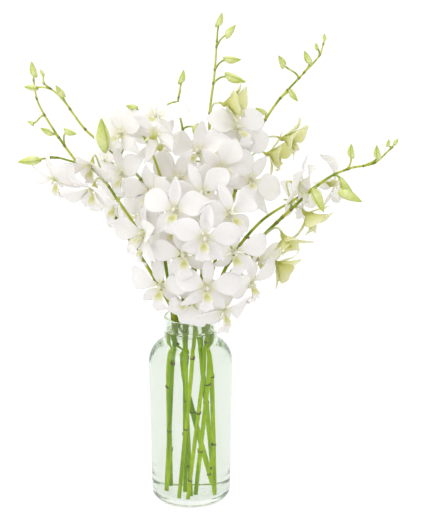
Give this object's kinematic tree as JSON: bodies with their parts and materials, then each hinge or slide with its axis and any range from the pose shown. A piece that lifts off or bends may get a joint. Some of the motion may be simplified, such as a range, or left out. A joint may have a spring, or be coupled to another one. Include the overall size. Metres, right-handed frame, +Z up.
{
  "type": "dendrobium orchid stems in a glass vase",
  "caption": "Cut stems of white dendrobium orchid with blooms and green buds, standing in water in a bottle-shaped clear glass vase.",
  "frame": {"origin": "middle of the flat underside of the vase's foot, on the surface it stands on", "axes": "+Z up along the vase's axis, +X to the right seen from the front, and the front looks along -Y"},
  "size_m": [0.4054, 0.2239, 0.5551],
  "materials": {
    "vase_glass": "clear",
    "water": "clear",
    "stem_green": "satin",
    "petal_white": "matte"
  },
  "bodies": {
    "root": {"bloom_01_open": "petal_white", "bloom_02_open": "petal_white", "bloom_03_open": "petal_white", "bloom_04_open": "petal_white", "bloom_05_swept": "petal_white", "bloom_06_swept": "petal_white", "bloom_07_cupped": "petal_white", "bloom_08_open": "petal_white", "bloom_09_open": "petal_white", "bloom_10_open": "petal_white", "bloom_11_open": "petal_white", "bloom_12_open": "petal_white", "bloom_13_cupped": "petal_white", "bloom_14_swept": "petal_white", "bloom_15_cupped": "petal_white", "bloom_16_open": "petal_white", "bloom_17_cupped": "petal_white", "bloom_18_cupped": "petal_white", "bloom_19_swept": "petal_white", "bloom_20_cupped": "petal_white", "bloom_21_open": "petal_white", "bloom_22_opening": "petal_white", "bloom_23_open": "petal_white", "bloom_24_open": "petal_white", "bloom_25_open": "petal_white", "bloom_26_cupped": "petal_white", "bloom_27_open": "petal_white", "bloom_28_open": "petal_white", "bloom_29_open": "petal_white", "bloom_30_open": "petal_white", "bloom_31_swept": "petal_white", "bloom_32_opening": "petal_white", "bloom_33_opening": "petal_white", "bloom_34_opening": "petal_white", "bloom_35_opening": "petal_white", "bloom_36_opening": "petal_white", "bloom_37_swept": "petal_white", "bloom_38_cupped": "petal_white", "bloom_39_open": "petal_white", "bloom_40_open": "petal_white", "bloom_41_open": "petal_white", "bloom_42_open": "petal_white", "bloom_43_open": "petal_white", "bloom_44_open": "petal_white", "bloom_45_cupped": "petal_white", "bloom_46_open": "petal_white", "bloom_47_open": "petal_white", "glass_vase": "vase_glass", "stem_front": "stem_green", "stem_left_arch": "stem_green", "stem_left_high": "stem_green", "stem_left_low": "stem_green", "stem_left_middle": "stem_green", "stem_middle_tall": "stem_green", "stem_middle_thin": "stem_green", "stem_right_back": "stem_green", "stem_right_high": "stem_green", "stem_right_wide": "stem_green", "water": "water"}
  },
  "joints": []
}
